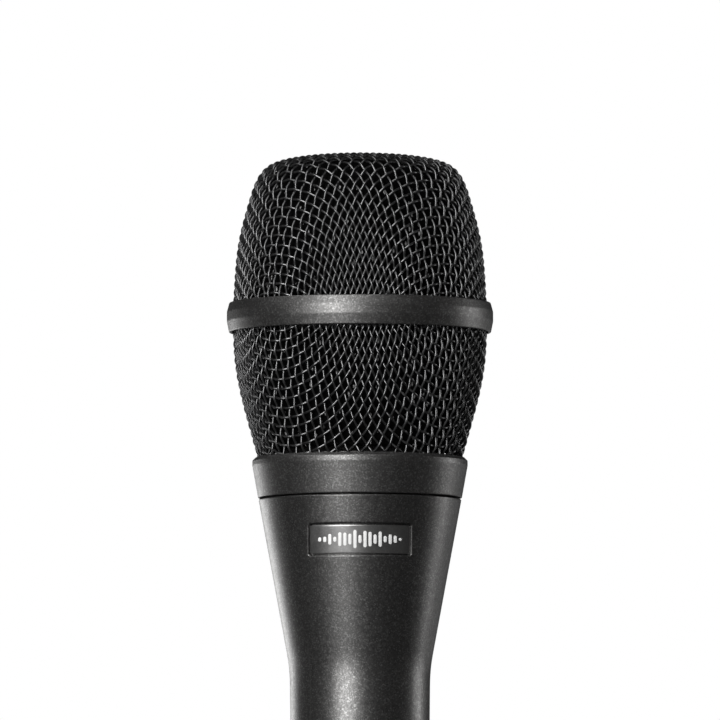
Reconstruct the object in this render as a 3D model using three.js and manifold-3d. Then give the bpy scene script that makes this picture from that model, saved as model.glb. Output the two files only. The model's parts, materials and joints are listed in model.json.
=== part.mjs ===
// A hand-held moving-coil vocal microphone, modelled as the pieces it comes apart into.
//
// Units are millimetres. +Z runs along the handle towards the grille, and the badge faces -Y.
// The origin is the centre of the tail end face, where the cable plug goes in.

import * as THREE from 'three';
import { mergeVertices } from 'three/addons/utils/BufferGeometryUtils.js';
import Module from 'manifold-3d';

const wasm = await Module();
wasm.setup();

// ---------------------------------------------------------------- driving dimensions

const FIT = 0.15; // clearance between two pieces that stay together
const RUN = 0.3; // clearance between two pieces that turn or slide past each other
const AROUND_LARGE = 40; // facets around the handle and the grille
const AROUND_SMALL = 20; // facets around the pieces inside

const OVERALL = 191;
const SEAM = 126.75; // height of the joint between handle and grille
const SEAM_GAP = 0.3;

const TAIL = { radius: 12.1, chamfer: 0.4, boreRadius: 8.15, boreDepth: 23 };
const GRIP = { topRadius: 13.0, top: 92.4 };
const CONE = { start: 97.2, startRadius: 13.42, endRadius: 18.87, chamfer: 0.15 };
const CAVITY = { radius: 10.3, top: 88, neckStart: 108, neckRadius: 13.4 };
const SPIGOT = { radius: 15.45, top: 133.0, chamfer: 0.35 };
const THREAD = { pitch: 1.0, turns: 5, crestRadius: 15.9, firstCrest: 127.9, bore: 16.2 };
const SEAL_GROOVE = { inner: 16.4, outer: 18.0, depth: 0.65 };
const BADGE = {
  width: 19.0, height: 5.8, centre: 118.4, corner: 0.4, recess: 0.9, plate: 0.4, margin: 0.3,
};

// Outer outlines of the two woven halves as [radius, height], from the bottom up.
const MESH_WALL = 0.8;
const UPPER_MESH_OUTLINE = [
  [23.68, 161.3], [23.36, 167.5], [22.54, 175.0], [20.64, 182.4], [19.2, 186.3],
  [17.45, 188.5], [14.2, 189.85], [8.5, 190.65], [0, OVERALL],
];
const LOWER_MESH_OUTLINE = [
  [18.6, 132.35], [20.05, 137.8], [22.04, 145.2], [23.36, 152.6], [23.66, 159.6],
];
const BAND = {
  bottom: 157.72, top: 163.18, radius: 24.75, upperFacet: 161.5, lowerFacet: 159.75,
  channelDepth: 1.4, lip: 0.5,
};
const COLLAR = { radius: 20.0, shoulder: 132.9, top: 134.4, grooveFloor: 132.1, innerTop: 134.6 };
// The foam stands clear enough of the wire for the band's inner lip to pass it as the head unscrews.
const FOAM = { gap: 0.9, thickness: 2.6, upperStart: 163.9, lowerStart: 135.0, lowerEnd: 157.2 };

const CARTRIDGE = {
  radius: 14.6, wall: 1.4, floor: 141.0, floorThickness: 1.6, top: 167.0,
  neckRadius: 11.0, neckBore: 9.2, neckEnd: 134.5,
};
const REAR_PORTS = { count: 8, width: 2.4, bottom: 150.6, height: 6.0 };
const POT = { radius: 12.2, bore: 10.6, floor: 147.8, floorThickness: 3.0, top: 162.8 };
const MAGNET = { radius: 8.0, top: 158.8 };
const POLE = { radius: 9.1 };
const COIL = { inner: 9.6, outer: 10.1, bottom: 159.0, top: 165.05 };
const DIAPHRAGM = { rim: 12.8, level: 165.15, crown: 2.7, roll: 0.9, thickness: 0.3 };
const CAP = { bottom: 167.15, top: 172.2, thickness: 1.0, holes: 6, holeRadius: 1.6, holeCircle: 6.4 };
const CHAMBER = { radius: 8.0, wall: 1.0, bottom: 108.6, flange: 12.9, flangeThickness: 1.0 };
const FELT = { inner: 4.0, outer: 12.0 };

const XLR = {
  insertTop: 22.4, insertBottom: 14.8, pinRadius: 1.2, pinTip: 3.6, pinEnd: 27.0,
  pinCircle: 4.7, pinAngles: [25, 155, 270],
};
const LOCK_SCREW = { radius: 1.2, height: 18.6 };
const TRANSFORMER = { centre: 70, width: 14.8, stack: 6.0, height: 12.0, leg: 4.0, window: 3.2 };
const WIRE_RADIUS = 0.5;

// ---------------------------------------------------------------- materials

function finish(color, roughness, metalness) {
  return new THREE.MeshStandardMaterial({ color, roughness, metalness });
}

const MATERIALS = {
  charcoalEnamel: finish(0x3b3b3d, 0.42, 0.55),
  blackWire: finish(0x2a2a2b, 0.4, 0.8),
  foam: finish(0x141414, 0.95, 0),
  rubber: finish(0x1b1b1b, 0.85, 0),
  badge: finish(0x101011, 0.2, 0.1),
  blackPlastic: finish(0x202022, 0.5, 0),
  greyPlastic: finish(0x8b8d90, 0.5, 0),
  magnetAlloy: finish(0x9b9ea3, 0.3, 1),
  zincSteel: finish(0xb9bcc0, 0.35, 1),
  copper: finish(0xb5652e, 0.35, 1),
  film: finish(0xd9c58a, 0.25, 0),
  cloth: finish(0x4a4a4c, 0.9, 0),
  felt: finish(0xb8b09c, 0.95, 0),
  brass: finish(0xc9a24a, 0.3, 1),
  gold: finish(0xd8b45a, 0.25, 1),
  laminations: finish(0x6d6f73, 0.45, 0.9),
  redWire: finish(0xa32020, 0.5, 0),
  blackWireCover: finish(0x181818, 0.5, 0),
  greenWire: finish(0x1f7a3a, 0.5, 0),
};

// ---------------------------------------------------------------- geometry helpers

const microphone = new THREE.Group();

function addPiece(name, geometry, material) {
  const mesh = new THREE.Mesh(geometry, material);
  mesh.name = name;
  microphone.add(mesh);
}

function signedVolume(position, index) {
  const [a, b, c] = [new THREE.Vector3(), new THREE.Vector3(), new THREE.Vector3()];
  let total = 0;
  for (let i = 0; i < index.length; i += 3) {
    a.fromBufferAttribute(position, index[i]);
    b.fromBufferAttribute(position, index[i + 1]);
    c.fromBufferAttribute(position, index[i + 2]);
    total += a.dot(b.cross(c));
  }
  return total / 6;
}

/** The same surface with shared vertices, no collapsed triangles, and faces that point out. */
function closed(geometry) {
  const bare = geometry.clone();
  bare.deleteAttribute('normal');
  bare.deleteAttribute('uv');
  const merged = mergeVertices(bare, 1e-4);
  const triangles = [];
  for (let i = 0; i < merged.index.count; i += 3) {
    const [a, b, c] = [0, 1, 2].map((k) => merged.index.getX(i + k));
    if (a !== b && b !== c && a !== c) triangles.push([a, b, c]);
  }
  const facesIn = signedVolume(merged.attributes.position, triangles.flat()) < 0;
  merged.setIndex(triangles.flatMap(([a, b, c]) => (facesIn ? [a, c, b] : [a, b, c])));
  return merged;
}

function toSolid(geometry) {
  const mesh = closed(geometry);
  return new wasm.Manifold(new wasm.Mesh({
    numProp: 3,
    vertProperties: new Float32Array(mesh.attributes.position.array),
    triVerts: new Uint32Array(mesh.index.array),
  }));
}

function toGeometry(solid) {
  const mesh = solid.getMesh();
  const geometry = new THREE.BufferGeometry();
  geometry.setAttribute('position', new THREE.BufferAttribute(mesh.vertProperties, 3));
  geometry.setIndex(new THREE.BufferAttribute(mesh.triVerts, 1));
  return geometry;
}

function cut(geometry, ...tools) {
  const left = tools.reduce((solid, tool) => solid.subtract(toSolid(tool)), toSolid(geometry));
  return toGeometry(left);
}

function join(...geometries) {
  return toGeometry(geometries.map(toSolid).reduce((all, next) => all.add(next)));
}

/** Turns an outline of [radius, height] points about the Z axis. A ring's outline closes on itself. */
function turned(outline, around) {
  const points = outline.map(([r, z]) => new THREE.Vector2(r, z));
  const onAxis = outline[0][0] === 0 && outline[outline.length - 1][0] === 0;
  if (!onAxis) points.push(points[0].clone());
  return closed(new THREE.LatheGeometry(points, around).rotateX(Math.PI / 2));
}

function ring(inner, outer, bottom, top, around = AROUND_SMALL) {
  return turned([[inner, bottom], [outer, bottom], [outer, top], [inner, top]], around);
}

function disc(radius, bottom, top, around = AROUND_SMALL) {
  return turned([[0, bottom], [radius, bottom], [radius, top], [0, top]], around);
}

/** The stretch of an upward outline between two heights. */
function trimmed(outline, bottom, top) {
  const radiusAt = (height) => {
    const i = outline.findIndex(([, z]) => z >= height);
    const [[r0, z0], [r1, z1]] = [outline[i - 1], outline[i]];
    return r0 + ((r1 - r0) * (height - z0)) / (z1 - z0);
  };
  const between = outline.filter(([, z]) => z > bottom && z < top);
  return [[radiusAt(bottom), bottom], ...between, [radiusAt(top), top]];
}

/** An outline that runs up the outside, moved square to itself towards the axis. */
function inset(outline, distance) {
  return outline.map(([r, z], i) => {
    if (r === 0) return [0, z - distance];
    const [r0, z0] = outline[Math.max(i - 1, 0)];
    const [r1, z1] = outline[Math.min(i + 1, outline.length - 1)];
    const share = distance / Math.hypot(r1 - r0, z1 - z0);
    return [r - (z1 - z0) * share, z + (r1 - r0) * share];
  });
}

/** The wall between an outline and the same outline further in. */
function shell(outline, thickness, around) {
  return turned([...outline, ...inset(outline, thickness).reverse()], around);
}

/** A box by its lowest and highest corners. */
function block(low, high) {
  const size = high.map((value, i) => value - low[i]);
  const centre = high.map((value, i) => (value + low[i]) / 2);
  return new THREE.BoxGeometry(...size).translate(...centre);
}

function roundedRectangle(width, height, corner) {
  const [x, y] = [width / 2, height / 2];
  const shape = new THREE.Shape();
  shape.moveTo(-x + corner, -y);
  shape.lineTo(x - corner, -y);
  shape.absarc(x - corner, -y + corner, corner, -Math.PI / 2, 0);
  shape.lineTo(x, y - corner);
  shape.absarc(x - corner, y - corner, corner, 0, Math.PI / 2);
  shape.lineTo(-x + corner, y);
  shape.absarc(-x + corner, y - corner, corner, Math.PI / 2, Math.PI);
  shape.lineTo(-x, -y + corner);
  shape.absarc(-x + corner, -y + corner, corner, Math.PI, 1.5 * Math.PI);
  return shape;
}

function circle(x, y, radius) {
  return new THREE.Path().absarc(x, y, radius, 0, 2 * Math.PI);
}

function extruded(shape, depth, curveSegments = 8) {
  return new THREE.ExtrudeGeometry(shape, { depth, bevelEnabled: false, curveSegments });
}

/** A round wire through a list of points. */
function wire(points, steps = 7) {
  const path = new THREE.CatmullRomCurve3(points.map((p) => new THREE.Vector3(...p)));
  const section = new THREE.Shape().absarc(0, 0, WIRE_RADIUS, 0, 2 * Math.PI);
  return new THREE.ExtrudeGeometry(section, { steps, curveSegments: 5, extrudePath: path });
}

function polar(radius, degrees, z) {
  const angle = THREE.MathUtils.degToRad(degrees);
  return [radius * Math.cos(angle), radius * Math.sin(angle), z];
}

// ---------------------------------------------------------------- handle

/** Handle radius on the straight cone under the grille, at a height. */
function coneRadius(z) {
  const slope = (CONE.endRadius - CONE.startRadius) / (SEAM - CONE.start);
  return CONE.startRadius + (z - CONE.start) * slope;
}

function threadOutline() {
  const rootRadius = SPIGOT.radius;
  const points = [];
  for (let turn = 0; turn < THREAD.turns; turn += 1) {
    const crest = THREAD.firstCrest + turn * THREAD.pitch;
    points.push([rootRadius, crest - THREAD.pitch / 2], [THREAD.crestRadius, crest]);
  }
  points.push([rootRadius, THREAD.firstCrest + (THREAD.turns - 0.5) * THREAD.pitch]);
  return points;
}

function handleOutline() {
  const shoulder = SEAM - SEAM_GAP / 2;
  const waist = new THREE.QuadraticBezierCurve(
    new THREE.Vector2(GRIP.topRadius, GRIP.top),
    new THREE.Vector2(GRIP.topRadius + 0.03, CONE.start - 2.3),
    new THREE.Vector2(CONE.startRadius, CONE.start),
  ).getPoints(3).map((p) => [p.x, p.y]);
  return [
    [TAIL.boreRadius, 0],
    [TAIL.radius - TAIL.chamfer, 0],
    [TAIL.radius, TAIL.chamfer],
    ...waist,
    [coneRadius(shoulder - CONE.chamfer), shoulder - CONE.chamfer],
    [CONE.endRadius - CONE.chamfer, shoulder],
    [SEAL_GROOVE.outer, shoulder],
    [SEAL_GROOVE.outer, shoulder - SEAL_GROOVE.depth],
    [SEAL_GROOVE.inner, shoulder - SEAL_GROOVE.depth],
    [SEAL_GROOVE.inner, shoulder],
    [SPIGOT.radius, shoulder],
    ...threadOutline(),
    [SPIGOT.radius - SPIGOT.chamfer, SPIGOT.top],
    [CAVITY.neckRadius, SPIGOT.top],
    [CAVITY.neckRadius, CAVITY.neckStart],
    [CAVITY.radius, CAVITY.top],
    [CAVITY.radius, TAIL.boreDepth + 1],
    [TAIL.boreRadius, TAIL.boreDepth],
  ];
}

/** The part of a rounded rectangle facing -Y that lies between two depths under the cone. */
function badgeSlab(margin, shallow, deep) {
  const shape = roundedRectangle(
    BADGE.width - 2 * margin, BADGE.height - 2 * margin, BADGE.corner - margin);
  const prism = extruded(shape, 2 * CONE.endRadius, 3)
    .rotateX(Math.PI / 2)
    .translate(0, 0, BADGE.centre);
  const [low, high] = [BADGE.centre - BADGE.height, BADGE.centre + BADGE.height];
  const sleeve = turned([
    [coneRadius(low) - deep, low], [coneRadius(low) - shallow, low],
    [coneRadius(high) - shallow, high], [coneRadius(high) - deep, high],
  ], AROUND_LARGE);
  return toGeometry(toSolid(prism).intersect(toSolid(sleeve)));
}

function makeHandle() {
  const body = turned(handleOutline(), AROUND_LARGE);
  const recess = badgeSlab(0, -1, BADGE.recess);
  const screwHole = disc(LOCK_SCREW.radius + FIT, 0, TAIL.radius + 1, 14)
    .rotateX(-Math.PI / 2)
    .translate(0, 0, LOCK_SCREW.height);
  const latchPocket = block(
    [-1.9, TAIL.boreRadius - 1, 4], [1.9, TAIL.boreRadius + 1.4, 8.5]);
  addPiece('handle', cut(body, recess, screwHole, latchPocket), MATERIALS.charcoalEnamel);

  const plateTop = BADGE.recess - FIT / 3 - BADGE.plate;
  const plate = badgeSlab(BADGE.margin, plateTop, plateTop + BADGE.plate);
  addPiece('badge_plate', plate, MATERIALS.badge);

  const sealFloor = SEAM - SEAM_GAP / 2 - SEAL_GROOVE.depth + 0.05;
  const seal = ring(
    SEAL_GROOVE.inner + 0.1, SEAL_GROOVE.outer - 0.1, sealFloor, SEAM, AROUND_LARGE);
  addPiece('grille_seal', seal, MATERIALS.rubber);
}

// ---------------------------------------------------------------- grille

function makeGrille() {
  addPiece(
    'grille_mesh_upper', shell(UPPER_MESH_OUTLINE, MESH_WALL, AROUND_LARGE),
    MATERIALS.blackWire);
  addPiece(
    'grille_mesh_lower', shell(LOWER_MESH_OUTLINE, MESH_WALL, AROUND_LARGE),
    MATERIALS.blackWire);

  const meshRadius = UPPER_MESH_OUTLINE[0][0];
  const channelOuter = meshRadius + FIT;
  const channelInner = meshRadius - MESH_WALL - FIT;
  const lip = channelInner - BAND.lip;
  const upperFloor = UPPER_MESH_OUTLINE[0][1] - FIT;
  const lowerRoof = LOWER_MESH_OUTLINE[LOWER_MESH_OUTLINE.length - 1][1] + FIT;
  const band = turned([
    [channelOuter, BAND.bottom],
    [BAND.radius - 0.4, BAND.bottom],
    [BAND.radius, BAND.lowerFacet],
    [BAND.radius, BAND.upperFacet],
    [BAND.radius - 0.45, BAND.top],
    [channelOuter, BAND.top],
    [channelOuter, upperFloor],
    [channelInner, upperFloor],
    [channelInner, upperFloor + BAND.channelDepth],
    [lip, upperFloor + BAND.channelDepth],
    [lip, lowerRoof - BAND.channelDepth],
    [channelInner, lowerRoof - BAND.channelDepth],
    [channelInner, lowerRoof],
    [channelOuter, lowerRoof],
  ], AROUND_LARGE);
  addPiece('grille_band', band, MATERIALS.charcoalEnamel);

  // The mesh cone continues down into a groove between the collar's outer lip and its bore.
  const [footRadius] = LOWER_MESH_OUTLINE[0];
  const meshSlope = 0.266;
  const outerWall = (z) => footRadius + meshSlope * (z - LOWER_MESH_OUTLINE[0][1]) + FIT;
  const innerWall = (z) => outerWall(z) - MESH_WALL - 3 * FIT;
  const collarBottom = SEAM + SEAM_GAP / 2;
  const collar = turned([
    [THREAD.bore, collarBottom],
    [CONE.endRadius + 0.05, collarBottom],
    [COLLAR.radius, COLLAR.shoulder],
    [COLLAR.radius, COLLAR.top - 0.6],
    [outerWall(COLLAR.top) + 0.1, COLLAR.top],
    [outerWall(COLLAR.top), COLLAR.top],
    [outerWall(COLLAR.grooveFloor), COLLAR.grooveFloor],
    [innerWall(COLLAR.grooveFloor), COLLAR.grooveFloor],
    [innerWall(COLLAR.innerTop), COLLAR.innerTop],
    [THREAD.bore, COLLAR.innerTop],
  ], AROUND_LARGE);
  addPiece('grille_collar', collar, MATERIALS.charcoalEnamel);

  const clearOf = MESH_WALL + FOAM.gap;
  const upperFoam = inset(trimmed(UPPER_MESH_OUTLINE, FOAM.upperStart, OVERALL), clearOf);
  addPiece(
    'windscreen_foam_upper', shell(upperFoam, FOAM.thickness, AROUND_SMALL), MATERIALS.foam);
  const lowerFoam = inset(
    trimmed(LOWER_MESH_OUTLINE, FOAM.lowerStart, FOAM.lowerEnd), clearOf);
  addPiece(
    'windscreen_foam_lower', shell(lowerFoam, FOAM.thickness, AROUND_SMALL), MATERIALS.foam);
}

// ---------------------------------------------------------------- cartridge

function makeHousing() {
  const { radius, wall, floor, floorThickness, top, neckRadius, neckBore, neckEnd } = CARTRIDGE;
  const body = turned([
    [neckBore, neckEnd], [neckRadius, neckEnd], [neckRadius, floor], [radius, floor],
    [radius, top], [radius - wall, top], [radius - wall, floor + floorThickness],
    [neckBore, floor + floorThickness],
  ], AROUND_SMALL);
  const ports = [];
  for (let i = 0; i < REAR_PORTS.count; i += 1) {
    const halfWidth = REAR_PORTS.width / 2;
    const port = block(
      [radius - wall - 0.5, -halfWidth, REAR_PORTS.bottom],
      [radius + 1, halfWidth, REAR_PORTS.bottom + REAR_PORTS.height]);
    ports.push(port.rotateZ(((i + 0.5) * 2 * Math.PI) / REAR_PORTS.count));
  }
  addPiece('cartridge_housing', cut(body, ...ports), MATERIALS.blackPlastic);

  const clothOuter = radius - wall - 0.1;
  const cloth = ring(
    clothOuter - 0.5, clothOuter, REAR_PORTS.bottom - 1.2,
    REAR_PORTS.bottom + REAR_PORTS.height + 1.2);
  addPiece('rear_port_cloth', cloth, MATERIALS.cloth);
}

function makeMotor() {
  const chamberFloor = CARTRIDGE.floor + CARTRIDGE.floorThickness + 0.1;
  const flangeTop = chamberFloor + CHAMBER.flangeThickness;
  const chamber = turned([
    [0, CHAMBER.bottom], [CHAMBER.radius, CHAMBER.bottom], [CHAMBER.radius, chamberFloor],
    [CHAMBER.flange, chamberFloor], [CHAMBER.flange, flangeTop],
    [CHAMBER.radius - CHAMBER.wall, flangeTop],
    [CHAMBER.radius - CHAMBER.wall, CHAMBER.bottom + CHAMBER.wall],
    [0, CHAMBER.bottom + CHAMBER.wall],
  ], AROUND_SMALL);
  addPiece('rear_chamber', chamber, MATERIALS.greyPlastic);

  const felt = ring(FELT.inner, FELT.outer, flangeTop + 0.1, POT.floor - 0.1);
  addPiece('damping_felt', felt, MATERIALS.felt);

  const potFloorTop = POT.floor + POT.floorThickness;
  const pot = turned([
    [0, POT.floor], [POT.radius, POT.floor], [POT.radius, POT.top], [POT.bore, POT.top],
    [POT.bore, potFloorTop], [0, potFloorTop],
  ], AROUND_SMALL);
  addPiece('magnet_pot', pot, MATERIALS.zincSteel);
  addPiece('magnet', disc(MAGNET.radius, potFloorTop + 0.05, MAGNET.top), MATERIALS.magnetAlloy);
  addPiece('pole_piece', disc(POLE.radius, MAGNET.top + 0.05, POT.top), MATERIALS.zincSteel);
}

function makeDiaphragm() {
  const { rim, level, crown, roll, thickness } = DIAPHRAGM;
  addPiece('voice_coil', ring(COIL.inner, COIL.outer, COIL.bottom, COIL.top), MATERIALS.copper);

  // A dome over the coil, then a half-roll out to the glued rim.
  const outline = [];
  const domeSteps = 4;
  for (let i = 0; i <= domeSteps; i += 1) {
    const r = (COIL.outer * i) / domeSteps;
    outline.push([r, level + crown * (1 - (r / COIL.outer) ** 2)]);
  }
  const rollWidth = rim - 0.9 - COIL.outer;
  const rollSteps = 3;
  for (let i = 1; i <= rollSteps; i += 1) {
    const share = i / rollSteps;
    outline.push([COIL.outer + rollWidth * share, level + roll * Math.sin(Math.PI * share)]);
  }
  outline.push([rim, level]);
  const top = outline.map(([r, z]) => [r, z + thickness]);
  addPiece('diaphragm', turned([...outline, ...top.reverse()], AROUND_SMALL), MATERIALS.film);

  const inner = CARTRIDGE.radius - CARTRIDGE.wall - 0.1;
  const seat = ring(inner - 0.8, inner, POT.top + 0.6, level - 0.4);
  addPiece('diaphragm_seat', seat, MATERIALS.brass);
  const clamp = ring(inner - 0.8, inner, level + thickness + 0.4, CARTRIDGE.top);
  addPiece('clamp_ring', clamp, MATERIALS.brass);
}

function makeResonatorCap() {
  const { bottom, top, thickness, holes, holeRadius, holeCircle } = CAP;
  const outside = [
    [CARTRIDGE.radius, bottom], [CARTRIDGE.radius, top - 2.6], [13.0, top - 0.9],
    [9.0, top - 0.15], [0, top],
  ];
  const inside = [
    [0, top - thickness], [8.8, top - 0.15 - thickness], [12.3, top - 0.9 - thickness],
    [CARTRIDGE.radius - thickness, top - 3.0], [CARTRIDGE.radius - thickness, bottom],
  ];
  const drills = [disc(holeRadius, bottom, top + 1, 14)];
  for (let i = 0; i < holes; i += 1) {
    const [x, y] = polar(holeCircle, (i * 360) / holes, 0);
    drills.push(disc(holeRadius, bottom, top + 1, 14).translate(x, y, 0));
  }
  const cap = cut(turned([...outside, ...inside], AROUND_SMALL), ...drills);
  addPiece('resonator_cap', cap, MATERIALS.blackPlastic);
  const screenTop = top - 0.9 - thickness - 0.1;
  addPiece('front_screen', disc(11.2, screenTop - 0.4, screenTop), MATERIALS.cloth);
}

function makeShockMount() {
  const inner = CARTRIDGE.neckRadius + RUN;
  const bottom = SPIGOT.top + FIT;
  const boot = turned([
    [13.5, bottom], [15.3, bottom], [15.3, bottom + 1.8], [14.3, bottom + 1.9],
    [12.8, bottom + 3.8], [12.7, CARTRIDGE.floor - 1.2], [inner, CARTRIDGE.floor - 1.2],
    [inner, bottom + 3.3], [13.3, bottom + 1.2],
  ], AROUND_SMALL);
  addPiece('shock_mount', boot, MATERIALS.rubber);
}

const LUG_ANGLES = [60, 120];

function makeLugs() {
  const middle = (CARTRIDGE.neckRadius + CARTRIDGE.neckBore) / 2;
  LUG_ANGLES.forEach((degrees, i) => {
    const lug = block([middle - 0.25, -0.8, 131.4], [middle + 0.25, 0.8, CARTRIDGE.neckEnd - 0.1]);
    lug.rotateZ(THREE.MathUtils.degToRad(degrees));
    addPiece(`cartridge_terminal_${i + 1}`, lug, MATERIALS.brass);
  });
}

// ---------------------------------------------------------------- transformer and wiring

function makeTransformer() {
  const { centre, width, stack, height, leg, window } = TRANSFORMER;
  const windowHeight = height - 4;
  const [near, far] = [leg / 2, leg / 2 + window + 0.2];
  const deep = stack / 2;
  const core = cut(
    block([-width / 2, -deep, centre - height / 2], [width / 2, deep, centre + height / 2]),
    block([near, -stack, centre - windowHeight / 2], [far, stack, centre + windowHeight / 2]),
    block([-far, -stack, centre - windowHeight / 2], [-near, stack, centre + windowHeight / 2]),
  );
  addPiece('transformer_core', core, MATERIALS.laminations);

  const collarRing = (x, y, wallX, wallY, bottom, top, corner) => {
    const shape = roundedRectangle(x, y, corner);
    shape.holes.push(new THREE.Path(roundedRectangle(wallX, wallY, 0.1).getPoints(1)));
    return extruded(shape, top - bottom, 3).translate(0, 0, centre + bottom);
  };
  const [legX, legY] = [leg + 0.4, stack + 0.4];
  const [tubeX, tubeY] = [legX + 1.0, legY + 1.0];
  const [flangeX, flangeY] = [leg + 2 * window - 0.2, stack + 5.4];
  const half = windowHeight / 2 - 0.25;
  const bobbin = join(
    collarRing(tubeX, tubeY, legX, legY, -half, half, 0.4),
    collarRing(flangeX, flangeY, legX, legY, -half, 0.6 - half, 0.4),
    collarRing(flangeX, flangeY, legX, legY, half - 0.6, half, 0.4),
  );
  addPiece('transformer_bobbin', bobbin, MATERIALS.greyPlastic);
  const winding = collarRing(
    flangeX - 0.4, flangeY - 0.6, tubeX + 0.2, tubeY + 0.2, 0.7 - half, half - 0.7, 1.4);
  addPiece('transformer_winding', winding, MATERIALS.copper);
  const sleeve = ring(8.6, CAVITY.radius - FIT, centre - 9, centre + 9);
  addPiece('transformer_sleeve', sleeve, MATERIALS.foam);
}

function makeWiring() {
  const leadMaterials = [MATERIALS.redWire, MATERIALS.blackWireCover];
  const lugRadius = (CARTRIDGE.neckRadius + CARTRIDGE.neckBore) / 2;
  const flangeTop = TRANSFORMER.centre + TRANSFORMER.height / 2;
  LUG_ANGLES.forEach((degrees, i) => {
    const side = i === 0 ? 1 : -1;
    addPiece(`cartridge_lead_${i + 1}`, wire([
      polar(lugRadius, degrees, 130.8),
      polar(lugRadius + 0.6, degrees + 6 * side, 121),
      polar(lugRadius, degrees, 110),
      polar(7.0, degrees + 10 * side, 96),
      polar(5.5, degrees, 84),
      [side * 2.4, 4.3, flangeTop - 1.0],
    ]), leadMaterials[i]);
  });
  const outputMaterials = [MATERIALS.greenWire, MATERIALS.redWire, MATERIALS.blackWireCover];
  const starts = [[3.4, -4.6], [-3.4, -4.6], [0, -5.0]];
  XLR.pinAngles.forEach((degrees, i) => {
    const [x, y] = starts[i];
    const [pinX, pinY] = polar(XLR.pinCircle, degrees, 0);
    addPiece(`output_lead_${i + 1}`, wire([
      [pinX, pinY, XLR.pinEnd + 0.7],
      [pinX * 1.15, pinY * 1.15, 34],
      [(pinX + x) / 1.7, (pinY + y) / 1.7, 46],
      [x * 1.1, y * 1.1, 56],
      [x, y, TRANSFORMER.centre - 4.4],
    ]), outputMaterials[i]);
  });
}

// ---------------------------------------------------------------- cable connector

function makeConnector() {
  const around = 12;
  const face = new THREE.Shape().absarc(0, 0, TAIL.boreRadius - FIT, 0, 2 * Math.PI);
  XLR.pinAngles.forEach((degrees) => {
    const [x, y] = polar(XLR.pinCircle, degrees, 0);
    face.holes.push(circle(x, y, XLR.pinRadius + 0.12));
  });
  const insert = extruded(face, XLR.insertTop - XLR.insertBottom, around)
    .translate(0, 0, XLR.insertBottom);
  addPiece('xlr_insert', insert, MATERIALS.blackPlastic);

  XLR.pinAngles.forEach((degrees, i) => {
    const [x, y] = polar(XLR.pinCircle, degrees, 0);
    const tip = XLR.pinRadius * 0.55;
    const pin = turned([
      [0, XLR.pinTip], [tip, XLR.pinTip + 0.1], [XLR.pinRadius, XLR.pinTip + 1.0],
      [XLR.pinRadius, XLR.pinEnd], [0, XLR.pinEnd],
    ], 12);
    addPiece(`xlr_pin_${i + 1}`, pin.translate(x, y, 0), MATERIALS.gold);
  });

  const screwEnd = TAIL.radius - 0.8;
  const screw = disc(LOCK_SCREW.radius, TAIL.boreRadius + 0.05, screwEnd, 14);
  const slot = block([-2, -0.25, screwEnd - 0.7], [2, 0.25, screwEnd + 1]);
  const lockScrew = cut(screw, slot).rotateX(-Math.PI / 2).translate(0, 0, LOCK_SCREW.height);
  addPiece('xlr_lock_screw', lockScrew, MATERIALS.zincSteel);
}

makeHandle();
makeGrille();
makeShockMount();
makeHousing();
makeMotor();
makeDiaphragm();
makeResonatorCap();
makeLugs();
makeTransformer();
makeWiring();
makeConnector();

export default microphone;
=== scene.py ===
"""The looks of a hand-held moving-coil vocal microphone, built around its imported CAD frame.

Everything is in metres in the frame's own axes: +Z along the handle towards the grille, the badge
faces -Y, and the tail stands on z = 0. Outlines of turned pieces are [radius, height] arrays.
"""

import itertools
import json
import math

import bmesh
import bpy
import numpy as np
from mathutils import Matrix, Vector

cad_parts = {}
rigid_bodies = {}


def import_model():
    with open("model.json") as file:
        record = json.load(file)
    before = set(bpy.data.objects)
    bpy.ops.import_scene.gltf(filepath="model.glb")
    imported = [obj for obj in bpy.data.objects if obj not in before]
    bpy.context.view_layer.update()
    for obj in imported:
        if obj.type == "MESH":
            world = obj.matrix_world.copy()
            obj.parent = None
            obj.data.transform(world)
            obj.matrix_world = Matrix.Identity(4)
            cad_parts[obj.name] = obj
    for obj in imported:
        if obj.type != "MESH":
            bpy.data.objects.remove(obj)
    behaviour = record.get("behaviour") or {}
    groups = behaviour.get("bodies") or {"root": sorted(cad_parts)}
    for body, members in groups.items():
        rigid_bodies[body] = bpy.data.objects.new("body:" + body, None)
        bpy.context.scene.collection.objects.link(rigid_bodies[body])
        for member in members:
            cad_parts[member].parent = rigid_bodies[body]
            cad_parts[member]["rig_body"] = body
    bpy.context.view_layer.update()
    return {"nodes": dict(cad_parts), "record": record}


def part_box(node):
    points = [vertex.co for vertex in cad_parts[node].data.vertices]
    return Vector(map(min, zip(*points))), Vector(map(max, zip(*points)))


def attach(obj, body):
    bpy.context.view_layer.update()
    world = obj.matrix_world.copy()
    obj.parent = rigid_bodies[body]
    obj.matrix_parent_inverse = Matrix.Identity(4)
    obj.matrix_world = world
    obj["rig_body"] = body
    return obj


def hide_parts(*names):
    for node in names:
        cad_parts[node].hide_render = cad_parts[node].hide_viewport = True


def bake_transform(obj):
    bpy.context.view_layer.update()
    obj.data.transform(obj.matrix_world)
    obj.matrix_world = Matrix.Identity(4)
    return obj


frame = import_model()

MM = 0.001
FINE = 256  # lines around the large painted pieces
MEDIUM = 120  # lines around the pieces inside
FRONT = -math.pi / 2  # the direction the badge faces, as an angle about Z
random = np.random.default_rng(7)


# ---------------- outlines

def unit(vectors):
    return vectors / np.linalg.norm(vectors, axis=1)[:, None]


def distances(points):
    """How far along a line each of its points is."""
    return np.r_[0, np.cumsum(np.linalg.norm(np.diff(points, axis=0), axis=1))]


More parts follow.
